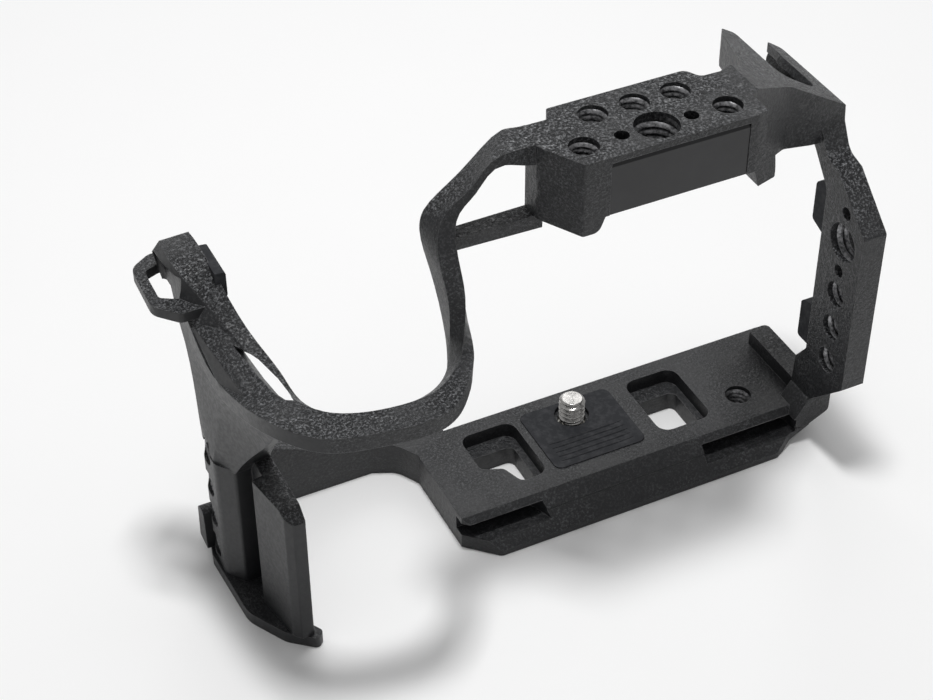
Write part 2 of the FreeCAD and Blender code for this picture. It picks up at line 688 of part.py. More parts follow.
def rear_bar():
    """Bar behind the camera from the base to the grip foot, and the foot itself."""
    g = grip_in
    back = bar_front + bar_depth
    side = [(bar_root, base_bottom), (bar_root, 0.0), (-55.0, 1.5, 10.0), (-72.0, bar_rise, 6.0),
            (g - 1.0, bar_rise, 1.0), (g - 3.6, bar_rise - 3.0, 1.0), (g - 3.6, base_bottom)]
    bar = prism("xz", side, bar_front, back)
    link_plan = [(deck_left + 0.1, 3.0), (deck_left + 0.1, bar_front + 0.1),
                 (deck_left - 9.0, bar_front + 0.1), (deck_left - 3.2, bar_front - 2.4, 6.0)]
    link = prism("xy", link_plan, base_bottom, 0.0)
    tie = box(deck_left, bar_root, deck_rear - 2.0, bar_front + 1.0, base_bottom, 0.0)
    outline = [(g + 0.3, back), (g - 6.0, back, 4.0), (g - 10.4, 5.0, 3.0), (g - 11.6, 0.0, 2.0),
               (g - 10.8, -20.0, 8.0), (g - 5.6, -29.2, 6.0), (g + 0.2, foot_toe, 1.2),
               (g + 2.2, foot_toe + 1.8, 1.2), (g + 0.3, -29.0, 2.0)]
    foot = prism("xy", outline, base_bottom, base_bottom + foot_thickness)
    return [bar, link, tie, foot]


def base_plate():
    """The base as one solid, with the seat of the captive screw."""
    base = union([base_deck()] + rear_bar())
    up = Vector(0.0, 0.0, 1.0)
    cutters = base_windows() + front_pockets()
    recess = screw_head_diameter + 1.0
    below = Vector(0.0, 0.0, base_bottom - 1.0)
    cutters.append(rod(quarter_inch + 0.5, below, up, plate_thickness + 2.0))
    cutters.append(rod(recess, below, up, plate_thickness - screw_seat + 1.0))
    cutters.append(keeper_disc(fit_gap))
    cutters.append(pad_body(fit_gap))
    hole = Vector(accessory_hole_x, accessory_hole_y, 0.0)
    cutters.append(tapped_hole(quarter_inch, hole, up * -1.0, plate_thickness + 1.0))
    for x, y in joint_spots_grip():
        cutters.append(joint_screw_body(x, y, base_bottom, fit_gap))
    for x, y in joint_spots_port():
        cutters.append(joint_screw_body(x, y, port_screw_seat(), fit_gap))
    for tool in cutters:
        base = base.cut(tool)
    return base


def pad_body(grow):
    """Block of the rubber pad, or with a positive growth the recess that takes it."""
    half = pad_length / 2.0 + grow
    top = pad_proud if grow <= 0.0 else 1.0
    front = pad_front - grow
    rear = pad_front + pad_depth + grow
    plan = [(-half, front, 2.0), (half, front, 2.0), (half, rear, 2.0), (-half, rear, 2.0)]
    return prism("xy", plan, -pad_thickness, top)


def base_pad():
    """Rubber pad that the camera stands on, open round the screw."""
    hole = rod(quarter_inch + 2.0, Vector(0.0, 0.0, -5.0), Vector(0.0, 0.0, 1.0), 10.0)
    return pad_body(0.0).cut(hole)


def head_levels():
    """Top and bottom of the lifted screw's head, under its washer."""
    top = -screw_seat - washer_thickness
    return top, top - screw_head_height


def keeper_level():
    """Bottom of the spring ring: the head can drop by its travel before it meets the ring."""
    return head_levels()[1] - screw_travel - running_gap - keeper_wire


def keeper_disc(grow):
    """Outer body of the spring ring, or with a positive growth the groove round it."""
    diameter = screw_head_diameter + 1.0 + 1.2 * keeper_wire + 2.0 * grow
    low = Vector(0.0, 0.0, keeper_level() - grow)
    return rod(diameter, low, Vector(0.0, 0.0, 1.0), keeper_wire + 2.0 * grow)


def camera_screw():
    """Screw turned from one bar: head with a coin slot, relieved neck and threaded end."""
    head_top, head_low = head_levels()
    half = quarter_inch / 2.0
    head = screw_head_diameter / 2.0
    relief = screw_relief / 2.0
    lead = 0.7
    profile = [(0.0, head_low), (head - 0.4, head_low), (head, head_low + 0.4), (head, head_top),
               (relief, head_top), (relief, -1.1), (half, -0.5), (half, screw_reach - lead),
               (half - lead, screw_reach), (0.0, screw_reach)]
    wire = Part.makePolygon([Vector(r, 0.0, z) for r, z in profile + profile[:1]])
    body = Part.Face(wire).revolve(Vector(0.0, 0.0, 0.0), Vector(0.0, 0.0, 1.0), 360.0)
    slot = box(-head, head, -0.8, 0.8, head_low - 1.0, head_low + 1.2)
    return body.cut(slot)


def screw_washer():
    """Thin washer between the screw's head and the base."""
    up = Vector(0.0, 0.0, 1.0)
    low = Vector(0.0, 0.0, head_levels()[0])
    outer = rod(screw_head_diameter - 1.0, low, up, washer_thickness)
    return outer.cut(rod(screw_relief + 2.0 * running_gap, low, up, washer_thickness))


def screw_retaining_ring():
    """Open spring ring that sits in a groove and keeps the screw in the base."""
    low = keeper_level()
    inside = rod(screw_head_diameter - 2.0, Vector(0.0, 0.0, low), Vector(0.0, 0.0, 1.0), keeper_wire)
    ring = keeper_disc(0.0).cut(inside)
    return ring.cut(box(-1.5, 1.5, 0.0, screw_head_diameter, low, low + keeper_wire))


def check_and_save(name, shape):
    """Write one sub-part and say how many solids it has and whether they are sound."""
    shape.exportStep("parts/" + name + ".step")
    print(name, len(shape.Solids), "solids, valid", shape.isValid(), "volume", round(shape.Volume, 1))


os.makedirs("parts", exist_ok=True)
upper_pad_outline, lower_pad_outline = wall_pads()
check_and_save("upper_frame", upper_frame())
check_and_save("base_plate", base_plate())
check_and_save("front_plate", front_plate())
check_and_save("base_pad", base_pad())
check_and_save("camera_screw", camera_screw())
check_and_save("screw_washer", screw_washer())
check_and_save("screw_retaining_ring", screw_retaining_ring())
check_and_save("grip_joint_screws", joining_screws(joint_spots_grip(), base_bottom))
check_and_save("port_joint_screw", joining_screws(joint_spots_port(), port_screw_seat()))
check_and_save("upper_wall_pad", wall_pad(upper_pad_outline).cut(port_wall()))
check_and_save("lower_wall_pad", wall_pad(lower_pad_outline))
check_and_save("shoulder_pad", shoulder_pad())
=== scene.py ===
# %% [markdown]
# # A camera cage on a pale table
# The cage is machined from black metal: a base plate, an upper frame that wraps one side, the
# top and the other side, and a few rubber seats. The solids come from the CAD frame, already in
# place and in metres. This script gives them their finishes, adds the threads and ribs that the
# solids leave out, and sets the light and the camera. The plain materials that come with the
# solids are removed first, so that the finishes made below keep their own names.

import json
import math

import bmesh
import bpy
from mathutils import Matrix, Vector


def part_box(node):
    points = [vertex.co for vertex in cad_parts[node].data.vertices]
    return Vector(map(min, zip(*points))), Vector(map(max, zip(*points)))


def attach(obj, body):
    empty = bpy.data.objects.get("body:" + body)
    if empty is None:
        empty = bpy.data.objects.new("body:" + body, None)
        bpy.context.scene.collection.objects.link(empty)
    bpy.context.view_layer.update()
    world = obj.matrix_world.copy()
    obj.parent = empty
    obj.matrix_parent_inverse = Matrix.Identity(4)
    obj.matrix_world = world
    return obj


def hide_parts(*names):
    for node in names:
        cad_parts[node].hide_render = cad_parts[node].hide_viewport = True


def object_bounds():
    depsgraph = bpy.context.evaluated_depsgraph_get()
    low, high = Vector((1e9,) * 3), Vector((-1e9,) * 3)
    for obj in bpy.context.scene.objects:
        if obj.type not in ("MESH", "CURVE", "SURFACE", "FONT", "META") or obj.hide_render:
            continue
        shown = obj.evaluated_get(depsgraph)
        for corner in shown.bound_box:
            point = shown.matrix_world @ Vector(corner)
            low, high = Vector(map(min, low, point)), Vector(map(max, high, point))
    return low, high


MM = 0.001
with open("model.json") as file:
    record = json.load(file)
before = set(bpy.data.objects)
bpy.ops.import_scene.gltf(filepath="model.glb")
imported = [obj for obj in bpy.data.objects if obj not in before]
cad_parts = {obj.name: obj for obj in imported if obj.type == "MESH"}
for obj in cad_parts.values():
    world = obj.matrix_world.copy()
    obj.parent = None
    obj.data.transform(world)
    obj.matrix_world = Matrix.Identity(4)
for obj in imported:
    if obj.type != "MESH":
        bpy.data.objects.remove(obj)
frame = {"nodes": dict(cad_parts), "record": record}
nodes = frame["nodes"]
cad_box = [list(corner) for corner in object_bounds()]
for plain in list(bpy.data.materials):
    bpy.data.materials.remove(plain)
for name, node in sorted(nodes.items()):
    print(name, "has", len(node.data.polygons), "faces")

# %% [markdown]
# ## Smooth faces and crisp edges
# The arm and shoulder of the frame are made of narrow flat strips. On the real cage they are
# continuous curves that meet in sharp ridges. Moving vertices would change the part, so the
# strips are only shaded as curves: touching vertices are welded, every edge sharper than a
# chosen angle is split, and each remaining normal leans towards its largest face.

# %% Shade the solids
RIDGE_ANGLE = math.radians(27.0)
WELD_WITHIN = 0.002 * MM
LARGE_FACE_WEIGHT = 60


def shade_as_machined(node):
    """Smooth across shallow strips and keep the ridges."""
    mesh = node.data
    if "custom_normal" in mesh.attributes:
        mesh.attributes.remove(mesh.attributes["custom_normal"])
    mesh.shade_smooth()
    weld = node.modifiers.new("weld", "WELD")
    weld.merge_threshold = WELD_WITHIN
    split = node.modifiers.new("ridges", "EDGE_SPLIT")
    split.split_angle = RIDGE_ANGLE
    split.use_edge_sharp = False
    node.modifiers.new("flat_faces_lead", "WEIGHTED_NORMAL").weight = LARGE_FACE_WEIGHT


for node in nodes.values():
    shade_as_machined(node)
print("shaded", len(nodes), "solids, ridges above", round(math.degrees(RIDGE_ANGLE)), "degrees")

# %% [markdown]
# ## A small kit for materials
# Each finish is a node tree on one principled shader. The pattern is placed in object
# coordinates, which here are metres, so a grain of 1 mm is a texture scale of 1000.
# A bevel node rounds every edge a little in the shading. Comparing its normal with the true one
# also tells where an edge is, which is where a coating wears first, and where a pale painted
# highlight is laid along with the wear.

# %% Material helpers
BEVEL_SAMPLES = 6
EDGE_TURN_FROM = 0.04
EDGE_TURN_TO = 0.2


def start_material(name, roughness, metallic=0.0, specular=0.5):
    """New material with its shader, and the numbers that are the same all over it."""
    material = bpy.data.materials.new(name)
    material.use_nodes = True
    tree = material.node_tree
    shader = tree.nodes["Principled BSDF"]
    shader.inputs["Roughness"].default_value = roughness
    shader.inputs["Metallic"].default_value = metallic
    shader.inputs["Specular IOR Level"].default_value = specular
    return material, tree, shader


def grain(tree, size_mm, detail=3.0, rough=0.6):
    """Noise whose lumps are about size_mm across."""
    place = tree.nodes.new("ShaderNodeTexCoord")
    noise = tree.nodes.new("ShaderNodeTexNoise")
    noise.inputs["Scale"].default_value = 1.0 / (size_mm * MM)
    noise.inputs["Detail"].default_value = detail
    noise.inputs["Roughness"].default_value = rough
    tree.links.new(place.outputs["Object"], noise.inputs["Vector"])
    return noise.outputs["Fac"]


def spread(tree, value, low, high, to_low=0.0, to_high=1.0):
    """Stretches a value from one range to another, held at both ends."""
    ramp = tree.nodes.new("ShaderNodeMapRange")
    ramp.inputs["From Min"].default_value = low
    ramp.inputs["From Max"].default_value = high
    ramp.inputs["To Min"].default_value = to_low
    ramp.inputs["To Max"].default_value = to_high
    tree.links.new(value, ramp.inputs["Value"])
    return ramp.outputs["Result"]


def combine(tree, operation, *values):
    """One value from two or three; each may be a plain number."""
    node = tree.nodes.new("ShaderNodeMath")
    node.operation = operation
    for socket, value in zip(node.inputs, values):
        if isinstance(value, (int, float)):
            socket.default_value = value
        else:
            tree.links.new(value, socket)
    return node.outputs[0]


def blend_colours(tree, amount, first, second):
    """Colour between two, by an amount; either may be a plain colour."""
    node = tree.nodes.new("ShaderNodeMix")
    node.data_type = "RGBA"
    tree.links.new(amount, node.inputs["Factor"])
    for key, value in (("A", first), ("B", second)):
        socket = [s for s in node.inputs if s.name == key and s.type == "RGBA"][0]
        if isinstance(value, tuple):
            socket.default_value = value + (1.0,)
        else:
            tree.links.new(value, socket)
    return [s for s in node.outputs if s.type == "RGBA"][0]


def paint(tree, shader, amount, first, second):
    """Base colour between two, by an amount."""
    tree.links.new(blend_colours(tree, amount, first, second), shader.inputs["Base Color"])


def rounded_normal(tree, radius_mm):
    """Normal that turns smoothly over every edge."""
    bevel = tree.nodes.new("ShaderNodeBevel")
    bevel.samples = BEVEL_SAMPLES
    bevel.inputs["Radius"].default_value = radius_mm * MM
    return bevel.outputs["Normal"]


def edge_mask(tree, normal):
    """One on the edges and zero on the faces."""
    face = tree.nodes.new("ShaderNodeNewGeometry")
    dot = tree.nodes.new("ShaderNodeVectorMath")
    dot.operation = "DOT_PRODUCT"
    tree.links.new(normal, dot.inputs[0])
    tree.links.new(face.outputs["Normal"], dot.inputs[1])
    turn = combine(tree, "SUBTRACT", 1.0, dot.outputs["Value"])
    return spread(tree, turn, EDGE_TURN_FROM, EDGE_TURN_TO)


def emboss(tree, shader, height, depth_mm, normal):
    """Bumps of a real depth on the shader, over an earlier normal."""
    bump = tree.nodes.new("ShaderNodeBump")
    bump.inputs["Strength"].default_value = 1.0
    bump.inputs["Distance"].default_value = depth_mm * MM
    tree.links.new(height, bump.inputs["Height"])
    tree.links.new(normal, bump.inputs["Normal"])
    tree.links.new(bump.outputs["Normal"], shader.inputs["Normal"])


print("material helpers ready")

# %% [markdown]
# ## The textured black coat
# The frame's upward faces are blasted before they are coated, so they carry coarse lumps that
# sparkle, while the milled sides stay satin. One material can do both: the world normal says
# which way a face looks, and that brings the coarse lumps in fully on top. The sides keep about
# a third of them, except on the outer grip wall, which is smooth, and low on the base all the
# grain is calmer. Small bright flecks on the same faces are painted glints: lighter colour where
# light would catch the grain. The thin pale edges are partly bare metal and partly a painted
# highlight.

# %% Textured black metal
COAT = (0.0095, 0.01, 0.0115)
# Colour of the painted glints, lighter spots on the grain of the tops.
COAT_GLINT = (0.22, 0.225, 0.235)
# Pale edge colour: partly bare metal, partly a painted highlight along every edge.
EDGE_WEAR_AND_HIGHLIGHT = (0.2, 0.2, 0.205)
LUMP_SIZE = 1.05
FINE_SIZE = 0.16
FLECK_SIZE = 0.55
PATCH_SIZE = 14.0
RUB_SIZE = 3.0
COAT_ROUNDING = 0.28
COAT_ROUGHNESS = 0.5
LUMP_SHINE = -0.1
LUMP_DEPTH = 0.42
FINE_SHARE = 0.035
TOP_FROM, TOP_TO = 0.35, 0.75
SMOOTH_UP_TO = -80.0 * MM
GRAINY_FROM = SMOOTH_UP_TO + 4.0 * MM
SIDE_GRAIN = 0.34
CALM_UP_TO = 0.5 * MM
FULL_GRAIN_FROM = 8.0 * MM
BASE_GRAIN = 0.32


def graininess(tree):
    """How much of the blasted grain a face carries, from its direction and its place."""
    facing = tree.nodes.new("ShaderNodeNewGeometry")
    direction = tree.nodes.new("ShaderNodeSeparateXYZ")
    tree.links.new(facing.outputs["Normal"], direction.inputs[0])
    place = tree.nodes.new("ShaderNodeTexCoord")
    where = tree.nodes.new("ShaderNodeSeparateXYZ")
    tree.links.new(place.outputs["Object"], where.inputs[0])
    sides = spread(tree, where.outputs["X"], SMOOTH_UP_TO, GRAINY_FROM, 0.0, SIDE_GRAIN)
    tops = spread(tree, direction.outputs["Z"], TOP_FROM, TOP_TO)
    on_top = combine(tree, "MAXIMUM", tops, sides)
    patches = spread(tree, grain(tree, PATCH_SIZE, 2.0, 0.5), 0.4, 0.62, 0.35, 1.0)
    calm = spread(tree, where.outputs["Z"], CALM_UP_TO, FULL_GRAIN_FROM, BASE_GRAIN, 1.0)
    return on_top, combine(tree, "MULTIPLY", patches, calm)


def textured_black_metal():
    """Blasted black coat with painted glints; pale edges part wear, part painted highlight."""
    material, tree, shader = start_material("textured_black_metal", COAT_ROUGHNESS)
    soft = rounded_normal(tree, COAT_ROUNDING)
    on_top, patches = graininess(tree)
    lumps = spread(tree, grain(tree, LUMP_SIZE, 4.0, 0.68), 0.4, 0.6)
    fine = grain(tree, FINE_SIZE, 2.0, 0.5)
    flecks = spread(tree, grain(tree, FLECK_SIZE, 3.0, 0.75), 0.5, 0.62)
    # Painted glints: lighter colour on the grain, full on upward faces and about a third on the
    # sides.
    light = combine(tree, "MULTIPLY", combine(tree, "MULTIPLY", flecks, on_top), patches)
    body = blend_colours(tree, light, COAT, COAT_GLINT)
    # Pale edges: partly bare metal, partly a painted highlight, in patches along every edge.
    wear_and_highlight_patches = spread(tree, grain(tree, RUB_SIZE), 0.35, 0.6, 0.15, 0.75)
    wear_and_highlight = combine(tree, "MULTIPLY", edge_mask(tree, soft), wear_and_highlight_patches)
    paint(tree, shader, wear_and_highlight, body, EDGE_WEAR_AND_HIGHLIGHT)
    shine = combine(tree, "MULTIPLY_ADD", lumps, LUMP_SHINE, COAT_ROUGHNESS)
    tree.links.new(shine, shader.inputs["Roughness"])
    coarse = combine(tree, "MULTIPLY", combine(tree, "MULTIPLY", lumps, on_top), patches)
    height = combine(tree, "ADD", coarse, combine(tree, "MULTIPLY", fine, FINE_SHARE))
    emboss(tree, shader, height, LUMP_DEPTH, soft)
    return material


def thread_wear_and_highlight():
    """Coat in the tapped holes, pale on the crests: part bared by screws, part painted highlight.
    """
    material, tree, shader = start_material("thread_wear_and_highlight", 0.3, metallic=0.8)
    # Pale patches on the ridge are partly bare metal and partly a painted highlight on the crests.
    crest_wear_and_highlight = spread(tree, grain(tree, 0.8), 0.35, 0.65)
    paint(tree, shader, crest_wear_and_highlight, (0.07, 0.071, 0.075), (0.36, 0.36, 0.37))
    emboss(tree, shader, grain(tree, 0.1), 0.01, rounded_normal(tree, 0.08))
    return material


def smooth_black_plate():
    """The let-in front plate: the same black without the blasting."""
    material, tree, shader = start_material("smooth_black_plate", 0.3)
    soft = rounded_normal(tree, 0.2)
    haze = spread(tree, grain(tree, 9.0), 0.35, 0.7)
    paint(tree, shader, haze, (0.007, 0.007, 0.008), (0.013, 0.013, 0.015))
    emboss(tree, shader, grain(tree, 0.12), 0.006, soft)
    return material


coat = textured_black_metal()
plate_finish = smooth_black_plate()
thread_finish = thread_wear_and_highlight()
print("coat colours", COAT, "to", COAT_GLINT)

# %% [markdown]
# ## Rubber, steel, oxide and nylon
# The seats are moulded rubber: dark, dull and slightly dusty. The camera screw is turned steel,
# with fine rings that stretch its highlights round the axis. The joining screws are black
# oxide, the ring is spring steel and the washer is nylon. A wave texture at a scale of one
# repeats every 0.314 m, which gives the scale for rings of a real width.

# %% Small finishes
WAVE_LENGTH_AT_ONE = 0.314


def rubber_pad():
    """Moulded rubber with a little dust."""
    material, tree, shader = start_material("rubber_pad", 0.78, specular=0.35)
    soft = rounded_normal(tree, 0.3)
    dust = spread(tree, grain(tree, 2.2, 4.0, 0.7), 0.45, 0.75)
    paint(tree, shader, dust, (0.013, 0.014, 0.017), (0.04, 0.041, 0.045))
    emboss(tree, shader, grain(tree, 0.2, 3.0), 0.03, soft)
    return material


def turned_metal(name, dark, light, roughness, ring_mm):
    """Metal with fine turning rings round the vertical axis."""
    material, tree, shader = start_material(name, roughness, metallic=1.0)
    soft = rounded_normal(tree, 0.1)
    paint(tree, shader, spread(tree, grain(tree, 1.4), 0.35, 0.7), dark, light)
    place = tree.nodes.new("ShaderNodeTexCoord")
    rings = tree.nodes.new("ShaderNodeTexWave")
    rings.wave_type = "RINGS"
    rings.rings_direction = "Z"
    rings.inputs["Scale"].default_value = WAVE_LENGTH_AT_ONE / (ring_mm * MM)
    rings.inputs["Distortion"].default_value = 0.4
    tree.links.new(place.outputs["Object"], rings.inputs["Vector"])
    emboss(tree, shader, rings.outputs["Fac"], 0.008, soft)
    return material


def nylon_washer():
    """Cream nylon, slightly mottled."""
    material, tree, shader = start_material("nylon_washer", 0.45)
    soft = rounded_normal(tree, 0.1)
    paint(tree, shader, grain(tree, 1.5), (0.62, 0.6, 0.55), (0.74, 0.72, 0.67))
    emboss(tree, shader, grain(tree, 0.3), 0.01, soft)
    return material


rubber = rubber_pad()
steel = turned_metal("screw_steel", (0.42, 0.41, 0.4), (0.62, 0.61, 0.59), 0.2, 0.12)
oxide = turned_metal("black_fastener", (0.03, 0.03, 0.032), (0.06, 0.06, 0.062), 0.38, 0.15)
spring = turned_metal("spring_steel", (0.2, 0.2, 0.21), (0.36, 0.36, 0.37), 0.3, 0.15)
nylon = nylon_washer()

FINISHES = {
    "upper_frame": coat, "base_plate": coat, "front_plate": plate_finish,
    "base_pad": rubber, "upper_wall_pad": rubber, "lower_wall_pad": rubber, "shoulder_pad": rubber,
    "screw_washer": nylon, "screw_retaining_ring": spring,
    "grip_joint_screws": oxide, "port_joint_screw": oxide, "camera_screw": steel,
}
for name, finish in FINISHES.items():
    node = nodes[name]
    node.data.materials.clear()
    node.data.materials.append(finish)
    print(name, "is", finish.name)

# %% [markdown]
# ## Threads in the tapped holes
# The CAD part has a plain bore at each thread's outer diameter. A real tapped hole has a ridge
# that winds down it. The record gives every hole's centre, axis, radius and length, so the
# ridge is swept as a helix with a narrow flat crest, and fades in and out at its ends. The
# ridge's depth and half widths are in pitches, so one profile serves both thread sizes.

# %% Wind a thread inside each bore
TURN_STEPS = 44
QUARTER_PITCH = 1.27
THREE_EIGHTHS_PITCH = 1.5875
RADIUS_BETWEEN_SIZES = 4.0
RIDGE_DEPTH = 0.58
CREST_HALF_WIDTH = 0.07
ROOT_HALF_WIDTH = 0.46
FADE_TURNS = 0.4
LEAST_FADE = 0.02
WALL_SINK = 0.02


def ring_frame(axis):
    """Two directions across an axis."""
    side = axis.orthogonal().normalized()
    return side, axis.cross(side)


def mesh_piece(name, bm, finish, body):
    """Shown piece from a bmesh, with its finish, riding on a body."""
    bmesh.ops.recalc_face_normals(bm, faces=bm.faces)
    mesh = bpy.data.meshes.new(name)
    bm.to_mesh(mesh)
    bm.free()
    mesh.shade_smooth()
    mesh.materials.append(finish)
    piece = bpy.data.objects.new(name, mesh)
    bpy.context.scene.collection.objects.link(piece)
    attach(piece, body)
    return piece


def wind_thread(name, centre, axis, radius, length, pitch):
    """Helical ridge standing inwards from a bore's wall."""
    side, across = ring_frame(axis)
    depth = RIDGE_DEPTH * pitch
    turns = (length - pitch) / pitch
    steps = int(turns * TURN_STEPS)
    fade_steps = FADE_TURNS * TURN_STEPS
    root = radius + WALL_SINK
    bm = bmesh.new()
    before = None
    for step in range(steps + 1):
        angle = math.tau * step / TURN_STEPS
        fade = min(1.0, step / fade_steps, (steps - step) / fade_steps)
        outwards = side * math.cos(angle) + across * math.sin(angle)
        along = -length / 2 + pitch / 2 + pitch * step / TURN_STEPS
        low = radius - depth * max(fade, LEAST_FADE)
        profile = ((root, -ROOT_HALF_WIDTH), (low, -CREST_HALF_WIDTH),
                   (low, CREST_HALF_WIDTH), (root, ROOT_HALF_WIDTH))
        ring = [bm.verts.new(centre + (outwards * r + axis * (along + k * pitch)) * MM)
                for r, k in profile]
        if before:
            for first, second in zip(range(3), range(1, 4)):
                bm.faces.new((before[first], before[second], ring[second], ring[first]))
        else:
            bm.faces.new(ring)
        before = ring
    bm.faces.new(before)
    return mesh_piece("thread_" + name, bm, thread_finish, "cage")


for mount in frame["record"]["mounts"]:
    if mount["kind"] != "threaded_hole":
        continue
    radius = mount["dims"]["r_mm"]
    pitch = QUARTER_PITCH if radius < RADIUS_BETWEEN_SIZES else THREE_EIGHTHS_PITCH
    piece = wind_thread(mount["name"], Vector(mount["pos_m"]), Vector(mount["axis"]).normalized(),
                        radius, mount["dims"]["length_mm"], pitch)
    print(piece.name, len(piece.data.polygons), "faces, pitch", pitch, "mm")

# %% [markdown]
# ## The captive camera screw
# The real screw is turned and threaded from one steel bar: a slotted head under the base, a thin
# neck that lets it drop, and a short threaded end that stands above the pad. The whole outline is
# drawn as rings stacked along the axis; in the threaded end each ring's radius rises and
# falls with the angle, which makes a true helix. The coin slot is cut afterwards.

# %% Turn the screw
screw_low, screw_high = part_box("camera_screw")
HEAD_RADIUS = screw_high.x / MM
HEAD_TOP = -3.42
HEAD_LOW = screw_low.z / MM
HEAD_LOWER_EDGE = ((0.0, 0.5), (0.12, 0.2), (0.45, 0.0))
HEAD_UPPER_EDGE = 0.25
NECK_RADIUS = 2.4
NECK_TOP = -1.1
CREST_RADIUS = 3.15
ROOT_RADIUS = CREST_RADIUS - 0.72
CREST_SHARE = 0.12
FLANK_SHARE = 0.76
THREAD_LOW = -0.5
THREAD_ROWS = 84
RISE_ROWS = 9.0
TIP = screw_high.z / MM
TIP_LEAD = 0.75
AROUND = 72
SLOT_HALF_WIDTH = 0.8
SLOT_DEPTH = 1.2
SCREW_RIDGE_ANGLE = math.radians(35.0)


def screw_outline():
    """Stations along the screw from head to tip: height, radius and how much of it is thread."""
    stations = [(HEAD_LOW + up, HEAD_RADIUS - inside, 0.0) for up, inside in HEAD_LOWER_EDGE]
    stations += [(HEAD_TOP - HEAD_UPPER_EDGE, HEAD_RADIUS, 0.0),
                 (HEAD_TOP, HEAD_RADIUS - HEAD_UPPER_EDGE, 0.0),
                 (HEAD_TOP, NECK_RADIUS, 0.0), (NECK_TOP, NECK_RADIUS, 0.0)]
    for row in range(THREAD_ROWS + 1):
        z = THREAD_LOW + (TIP - THREAD_LOW) * row / THREAD_ROWS
        lead = max(0.0, (z - (TIP - TIP_LEAD)) / TIP_LEAD)
        stations.append((z, CREST_RADIUS - TIP_LEAD * lead, min(1.0, row / RISE_ROWS)))
    return stations


def turn_screw():
    """Closed mesh of the screw with its helix."""
    bm = bmesh.new()
    rings = []
    for z, radius, threaded in screw_outline():
        ring = []
        for step in range(AROUND):
            angle = math.tau * step / AROUND
            phase = (z / QUARTER_PITCH - step / AROUND) % 1.0
            from_crest = abs(phase - 0.5) * 2.0
            flank = min(1.0, max(0.0, (from_crest - CREST_SHARE) / FLANK_SHARE))
            r = radius - (radius - min(radius, ROOT_RADIUS)) * flank * threaded
            ring.append(bm.verts.new(Vector((r * math.cos(angle), r * math.sin(angle), z)) * MM))
        rings.append(ring)
    for near, ahead in zip(rings, rings[1:]):
        for step in range(AROUND):
            following = (step + 1) % AROUND
            bm.faces.new((near[step], near[following], ahead[following], ahead[step]))
    bm.faces.new(list(reversed(rings[0])))
    bm.faces.new(rings[-1])
    return bm


def cut_slot(piece):
    """Takes a coin slot out of the head and leaves a plain mesh."""
    bm = bmesh.new()
    bmesh.ops.create_cube(bm, size=1.0)
    size = Vector((3.0 * HEAD_RADIUS, 2.0 * SLOT_HALF_WIDTH, 2.0 * SLOT_DEPTH)) * MM
    bmesh.ops.scale(bm, vec=size, verts=bm.verts)
    bmesh.ops.translate(bm, vec=Vector((0.0, 0.0, HEAD_LOW * MM)), verts=bm.verts)
    mesh = bpy.data.meshes.new("slot_cutter")
    bm.to_mesh(mesh)
    bm.free()
    cutter = bpy.data.objects.new("slot_cutter", mesh)
    bpy.context.scene.collection.objects.link(cutter)
    cut = piece.modifiers.new("slot", "BOOLEAN")
    cut.operation = "DIFFERENCE"
    cut.object = cutter
    cut.solver = "EXACT"
    bpy.context.view_layer.update()
    evaluated = piece.evaluated_get(bpy.context.evaluated_depsgraph_get())
    slotted = bpy.data.meshes.new_from_object(evaluated)
    piece.modifiers.clear()
    piece.data = slotted
    bpy.data.objects.remove(cutter)


threaded_screw = mesh_piece("camera_screw_threaded", turn_screw(), steel, "screw")
cut_slot(threaded_screw)
edge = threaded_screw.modifiers.new("ridges", "EDGE_SPLIT")
edge.split_angle = SCREW_RIDGE_ANGLE
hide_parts("camera_screw")
print("screw has", len(threaded_screw.data.polygons), "faces and stands", round(TIP, 2), "mm proud")

# %% [markdown]
# ## Ribs on the base pad
# The front half of the pad carries a few fine moulded ribs that stop the camera from twisting.
# They stand only a tenth of a millimetre proud, too little for the solid, so each is a low
# rounded bead with tapered ends, laid on the pad's top.

# %% Lay the ribs
pad_low, pad_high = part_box("base_pad")
RIB_COUNT = 5
RIB_PITCH = 1.55
RIB_HALF_WIDTH = 0.34
RIB_HEIGHT = 0.12
RIB_END = 2.6
RIB_MARGIN = 2.2
RIB_SINK = 0.02
RIB_LEAST_SWELL = 0.02
RIB_STEPS = 24
RIB_ARC_STEPS = 8


def rib_bed():
    """All ribs as one mesh of closed beads."""
    bm = bmesh.new()
    x_low = pad_low.x / MM + RIB_MARGIN
    x_high = pad_high.x / MM - RIB_MARGIN
    base = pad_high.z / MM - RIB_SINK
    arc = [math.pi * turn / RIB_ARC_STEPS for turn in range(RIB_ARC_STEPS + 1)]
    for rib in range(RIB_COUNT):
        y = pad_low.y / MM + RIB_MARGIN + RIB_PITCH * rib
        before = None
        for step in range(RIB_STEPS + 1):
            x = x_low + (x_high - x_low) * step / RIB_STEPS
            swell = min(1.0, (x - x_low) / RIB_END, (x_high - x) / RIB_END)
            swell = math.sqrt(max(swell, RIB_LEAST_SWELL))
            ring = []
            for angle in arc:
                across = RIB_HALF_WIDTH * swell * math.cos(angle)
                up = RIB_HEIGHT * swell * math.sin(angle)
                ring.append(bm.verts.new(Vector((x, y + across, base + up)) * MM))
            if before:
                for turn in range(len(arc)):
                    following = (turn + 1) % len(arc)
                    bm.faces.new((before[turn], before[following], ring[following], ring[turn]))
            else:
                bm.faces.new(ring)
            before = ring
        bm.faces.new(before)
    return bm


ribs = mesh_piece("base_pad_ribs", rib_bed(), rubber, "cage")
print(RIB_COUNT, "ribs,", len(ribs.data.polygons), "faces")

